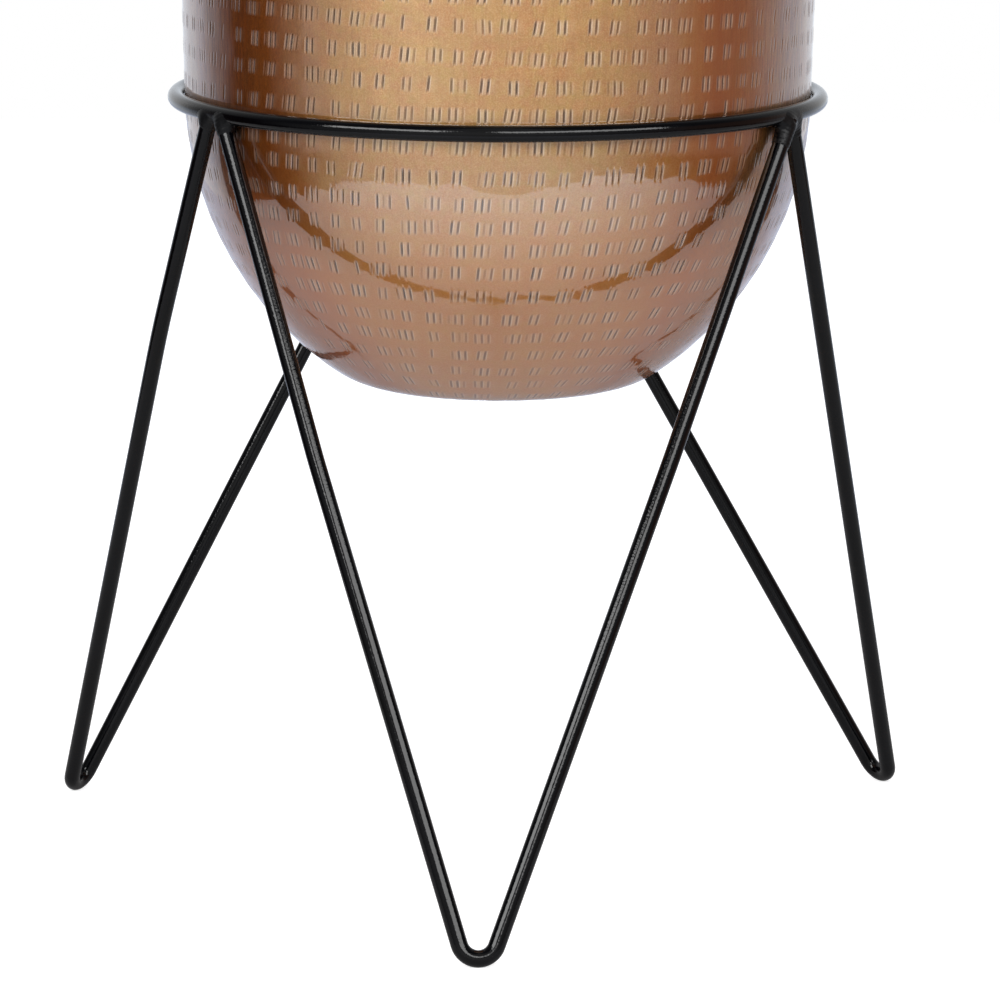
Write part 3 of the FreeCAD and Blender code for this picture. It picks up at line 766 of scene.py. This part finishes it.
class Graph:
    """Nodes of a material or of the world, with short ways to add to them."""

    def __init__(self, owner):
        owner.use_nodes = True
        self.nodes, self.links = owner.node_tree.nodes, owner.node_tree.links

    def feed(self, node, inputs):
        """Set inputs of a node, by name or number, each to a socket, a number or a colour."""
        for key, value in inputs.items():
            entry = node.inputs[key]
            if isinstance(value, bpy.types.NodeSocket):
                self.links.new(value, entry)
            elif entry.type == "RGBA":
                entry.default_value = (*value, 1.0)
            else:
                entry.default_value = value

    def add(self, kind, inputs=None, **settings):
        """New node of a kind with its settings and inputs."""
        node = self.nodes.new(f"ShaderNode{kind}")
        for name, setting in settings.items():
            setattr(node, name, setting)
        self.feed(node, inputs or {})
        return node

    def noise(self, place, scale, detail, roughness, stretch=None):
        """Noise over places, which may be stretched along each axis first."""
        if stretch:
            place = self.add("Mapping", {"Vector": place, "Scale": stretch}).outputs["Vector"]
        node = self.add("TexNoise", {
            "Vector": place, "Scale": scale, "Detail": detail, "Roughness": roughness,
        })
        return node.outputs["Fac"]

    def ramp(self, value, stops):
        """Colour ramp over a value; stops are (level of the value, grey or colour)."""
        node = self.add("ValToRGB", {"Fac": value})
        elements = node.color_ramp.elements
        while len(elements) < len(stops):
            elements.new(1.0)
        for element, (level, tone) in zip(elements, stops):
            colour = tone if isinstance(tone, tuple) else (tone, tone, tone)
            element.position = level
            element.color = (*colour, 1.0)
        return node.outputs["Color"]

    def mix(self, factor, first, second):
        """Mix of two colours, each a socket or a colour."""
        node = self.add("Mix", {0: factor, 6: first, 7: second}, data_type="RGBA")
        return node.outputs[2]

    def maths(self, operation, first, second):
        """Result of an operation on two values."""
        return self.add("Math", {0: first, 1: second}, operation=operation).outputs[0]

    def scaled(self, value, low, high):
        """Value from 0 to 1 moved into another range."""
        return self.add("MapRange", {
            "Value": value, "To Min": low, "To Max": high,
        }).outputs["Result"]

    def share(self, value, start, end, blend="LINEAR"):
        """How far a value has come from one level to another, from 0 to 1."""
        return self.add("MapRange", {
            "Value": value, "From Min": start, "From Max": end,
        }, interpolation_type=blend).outputs["Result"]

    def bump(self, height, distance, strength):
        """Normals of a surface that is raised by a height."""
        return self.add("Bump", {
            "Height": height, "Distance": distance, "Strength": strength,
        }).outputs["Normal"]

    def azimuth(self, parts):
        """Share of a full turn, 0.5 on the camera's side and more towards +X."""
        towards_camera = self.maths("MULTIPLY", parts.outputs["Y"], -1.0)
        angle = self.maths("ARCTAN2", parts.outputs["X"], towards_camera)
        return self.share(angle, -math.pi, math.pi)

    def around(self, azimuth, levels):
        """Tone by azimuth; levels are (degrees from the camera's side, grey or colour)."""
        return self.ramp(azimuth, [(degrees / 360 + 0.5, tone) for degrees, tone in levels])

    def spread(self, length, levels):
        """Grey by a length within the glow's span; levels are (length, grey)."""
        return self.ramp(
            self.share(length, -GLOW_SPAN, GLOW_SPAN),
            [(place / (2 * GLOW_SPAN) + 0.5, grey) for place, grey in levels])


def new_material(name):
    """Node material: itself, its graph and its main shader."""
    material = bpy.data.materials.new(name)
    graph = Graph(material)
    return material, graph, graph.nodes["Principled BSDF"]


def make_pot_material():
    """Antiqued brass under a clear glossy lacquer, dark in the chisel marks."""
    material, graph, shader = new_material("pot_lacquered_brass")
    place = graph.add("TexCoord").outputs["Object"]
    noises = {name: graph.noise(place, *setting) for name, setting in METAL_NOISES.items()}
    base = graph.ramp(noises["mottle"], METAL_TONES)
    for name, levels, strength, tone in METAL_TINTS:
        cover = noises[name]
        if levels:
            cover = graph.ramp(cover, levels)
        base = graph.mix(graph.scaled(cover, 0.0, strength), base, tone)
    # Redder patina with a painted dark reflection, and fine dark lines, in upright zones round
    # the pot
    parts = graph.add("SeparateXYZ", {0: place})
    azimuth = graph.azimuth(parts)
    streaks = graph.scaled(noises["streaks"], *PATINA_AND_DARK_REFLECTION_RANGE)
    patina_and_dark_reflection = graph.maths("MULTIPLY", graph.around(azimuth, PATINA_AND_DARK_REFLECTION_ZONES), streaks)
    base = graph.mix(patina_and_dark_reflection, base, PATINA_AND_DARK_REFLECTION_TONE)
    lines = graph.ramp(noises["hairs"], HAIR_LEVELS)
    hairs = graph.maths("MULTIPLY", graph.around(azimuth, HAIR_ZONES), lines)
    base = graph.mix(hairs, base, HAIR_TONE)
    bowl = graph.share(parts.outputs["Z"], *BOWL_HEIGHTS)
    base = graph.mix(graph.scaled(bowl, 0.0, BOWL_STRENGTH), base, BOWL_TONE)
    # A painted highlight on the raised burrs, and patina dark in the cuts
    for mask, strength, tone in MARK_TINTS:
        shown = graph.add("Attribute", attribute_name=mask).outputs["Fac"]
        base = graph.mix(graph.scaled(shown, 0.0, strength), base, tone)
    graph.feed(shader, {
        "Base Color": base,
        "Metallic": 1.0,
        "Specular Tint": (0.50, 0.66, 1.0),
        "Roughness": graph.ramp(noises["sheen"], METAL_ROUGHNESS),
        "Coat Weight": 1.0,
        "Coat Roughness": 0.04,
        "Coat IOR": 2.3,
        "Coat Tint": (0.97, 0.88, 0.76),
        "Normal": graph.bump(noises["grain"], GRAIN_HEIGHT, GRAIN_STRENGTH),
    })
    return material


def make_paint_material(name, roughness, specular, peel_height):
    """Black powder coat with a fine orange peel; its roughness runs over a range."""
    material, graph, shader = new_material(name)
    place = graph.add("TexCoord").outputs["Object"]
    cloud = graph.noise(place, *PAINT_CLOUD)
    peel = graph.noise(place, *PAINT_PEEL)
    graph.feed(shader, {
        "Base Color": graph.ramp(cloud, PAINT_TONES),
        "Roughness": graph.scaled(cloud, *roughness),
        "Specular IOR Level": specular,
        "Normal": graph.bump(peel, peel_height, PEEL_STRENGTH),
    })
    return material


def make_wire_material():
    """Plain drawn steel wire inside the rim."""
    material, graph, shader = new_material("rim_steel_wire")
    place = graph.add("TexCoord").outputs["Object"]
    cloud = graph.noise(place, *WIRE_CLOUD)
    graph.feed(shader, {
        "Base Color": graph.ramp(cloud, WIRE_TONES),
        "Metallic": 1.0,
        "Roughness": graph.scaled(cloud, *WIRE_ROUGHNESS),
    })
    return material


def set_material(piece, material):
    """Give a piece one material only."""
    piece.data.materials.clear()
    piece.data.materials.append(material)


def make_camera():
    """Camera at the photograph's place and angle."""
    data = bpy.data.cameras.new("photo_camera")
    data.sensor_width = SENSOR_WIDTH_MM
    data.lens = LENS_MM
    camera = put_in_scene("photo_camera", data)
    camera.matrix_world = (
        Matrix.Translation(CAMERA_PLACE)
        @ Matrix.Rotation(CAMERA_PITCH, 4, "X")
        @ Matrix.Rotation(CAMERA_ROLL, 4, "Z")
    )
    bpy.context.scene.camera = camera


def add_softbox(name, azimuth, elevation, distance, width, height, power):
    """Soft rectangular lamp that faces the object."""
    data = bpy.data.lights.new(name, "AREA")
    data.shape = "RECTANGLE"
    data.size = width
    data.size_y = height
    data.energy = power
    lamp = put_in_scene(name, data)
    azimuth, elevation = math.radians(azimuth), math.radians(elevation)
    outward = Vector((
        math.cos(elevation) * math.sin(azimuth),
        -math.cos(elevation) * math.cos(azimuth),
        math.sin(elevation),
    ))
    lamp.location = Vector(SOFTBOX_TARGET) + outward * distance
    lamp.rotation_euler = outward.to_track_quat("Z", "Y").to_euler()


def sheet_outline():
    """Outline of the white sheet, whose front corners are round."""
    outline = [(SHEET_RIGHT, SHEET_BACK), (SHEET_LEFT, SHEET_BACK)]
    for side, edge in ((-1, SHEET_LEFT), (1, SHEET_RIGHT)):
        for step in range(CORNER_STEPS + 1):
            turn = step / CORNER_STEPS * math.pi / 2
            angle = turn if side < 0 else math.pi / 2 - turn
            outline.append((
                edge + side * SHEET_CORNER * (math.cos(angle) - 1),
                SHEET_FRONT + SHEET_CORNER - SHEET_CORNER * math.sin(angle),
            ))
    return outline


def make_floor_material():
    """White that takes the shadow, with a glow of its own for the camera and in mirrors."""
    material, graph, shader = new_material("white_floor")
    graph.nodes.remove(shader)
    place = graph.add("TexCoord").outputs["Object"]
    distance = graph.add("VectorMath", {0: place}, operation="LENGTH").outputs["Value"]
    depth = graph.add("SeparateXYZ", {0: place}).outputs["Y"]
    path = graph.add("LightPath")
    by_camera, in_mirror = path.outputs["Is Camera Ray"], path.outputs["Is Glossy Ray"]
    seen = graph.maths("MULTIPLY", graph.spread(distance, CAMERA_GLOW), by_camera)
    mirrored = graph.maths("MULTIPLY", graph.spread(depth, MIRROR_GLOW), in_mirror)
    diffuse = graph.add("BsdfDiffuse", {"Color": FLOOR_TONE})
    glow = graph.add("Emission", {
        "Color": graph.mix(by_camera, MIRROR_TONE, WHITE),
        "Strength": graph.maths("ADD", seen, mirrored),
    })
    both = graph.add("AddShader", {0: diffuse.outputs[0], 1: glow.outputs[0]})
    graph.feed(graph.nodes["Material Output"], {"Surface": both.outputs[0]})
    return material


def make_stage():
    """White sheet on the floor, which keeps the object's shadow."""
    outline = sheet_outline()
    mesh = bpy.data.meshes.new("floor")
    mesh.from_pydata([(x, y, 0) for x, y in outline], [], [tuple(range(len(outline)))])
    floor = put_in_scene("floor", mesh)
    set_material(floor, make_floor_material())


def make_world():
    """White behind the object, and a plain studio for what the metal reflects."""
    world = bpy.data.worlds.new("studio")
    bpy.context.scene.world = world
    graph = Graph(world)
    direction = graph.add("TexCoord").outputs["Generated"]
    parts = graph.add("SeparateXYZ", {0: direction})
    azimuth = graph.azimuth(parts)
    room = graph.around(azimuth, FOOT_LEVELS)
    for levels, bottom, top in BELTS:
        climb = graph.share(parts.outputs["Z"], bottom, top, "SMOOTHSTEP")
        room = graph.mix(climb, room, graph.around(azimuth, levels))
    path = graph.add("LightPath")
    shown = graph.mix(path.outputs["Is Camera Ray"], room, WHITE)
    graph.feed(graph.nodes["Background"], {"Color": shown, "Strength": 1.0})


pot = make_pot()
set_material(pot, make_pot_material())
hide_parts("pot_shell")
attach(pot, "pot")

paint = make_paint_material("stand_powder_coat", **ROD_PAINT)
for node in ("stand_ring", "ring_butt_weld", "front_leg", "left_leg", "right_leg"):
    set_material(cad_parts[node], paint)
matt_paint = make_paint_material("weld_powder_coat", **WELD_PAINT)
for node, rods in WELDS.items():
    weld = make_weld(f"{node}_metal", rods)
    set_material(weld, matt_paint)
    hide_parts(node)
    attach(weld, "stand")
set_material(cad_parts["rim_wire"], make_wire_material())

make_camera()
make_stage()
make_world()
for name, setting in SOFTBOXES.items():
    add_softbox(name, *setting)
bpy.context.scene.view_settings.view_transform = "Standard"
